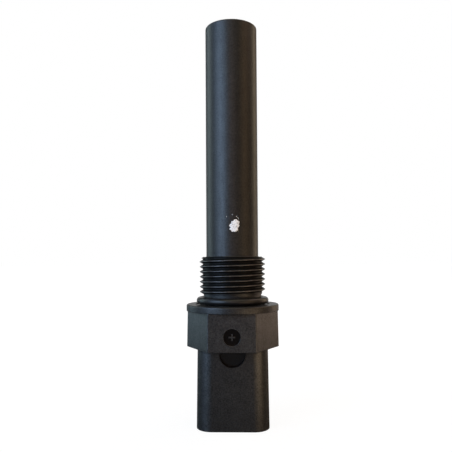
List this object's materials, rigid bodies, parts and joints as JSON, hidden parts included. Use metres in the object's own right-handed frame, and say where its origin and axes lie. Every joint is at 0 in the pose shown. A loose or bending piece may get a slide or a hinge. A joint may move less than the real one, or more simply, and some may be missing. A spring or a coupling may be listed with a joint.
{
  "type": "wheel speed sensor",
  "caption": "Screw-in wheel speed sensor: a long sensing barrel with a fine thread, sealing ring, spanner hexagon and a plug socket with pins.",
  "frame": {"origin": "centre of the socket's rim, on the sensor's long axis", "axes": "+Z along the axis from the socket's rim to the sensing tip; the hexagon's flat with the mould mark and the latch window face -Y; +X to the right"},
  "size_m": [0.0278, 0.0278, 0.1196],
  "materials": {
    "housing_nylon": "black glass-filled nylon, satin with a fine grain",
    "inner_nylon": "black moulded nylon",
    "seal_rubber": "black nitrile rubber, slightly shiny",
    "pin_metal": "tin plated",
    "post_metal": "bare brass",
    "epoxy": "poured black epoxy",
    "lead_insulation": "grey wire insulation",
    "shrink_sleeve": "black heat-shrink sleeve",
    "coil_copper": "enamelled copper wire, wound",
    "coil_tape": "amber polyester tape",
    "soft_iron": "turned soft iron",
    "magnet": "nickel plated"
  },
  "bodies": {
    "root": {"housing": "housing_nylon", "seal_ring": "seal_rubber", "pin_header": "inner_nylon", "contact_pin_left": "pin_metal", "contact_pin_right": "pin_metal", "epoxy_seal": "epoxy", "wire_carrier": "inner_nylon", "lead_left": "lead_insulation", "lead_right": "lead_insulation", "pin_sleeve_left": "shrink_sleeve", "pin_sleeve_right": "shrink_sleeve", "post_sleeve_left": "shrink_sleeve", "post_sleeve_right": "shrink_sleeve", "bobbin": "inner_nylon", "coil_winding": "coil_copper", "coil_tape": "coil_tape", "pole_piece": "soft_iron", "magnet": "magnet", "back_iron": "soft_iron", "coil_post_left": "post_metal", "coil_post_right": "post_metal"}
  },
  "joints": []
}
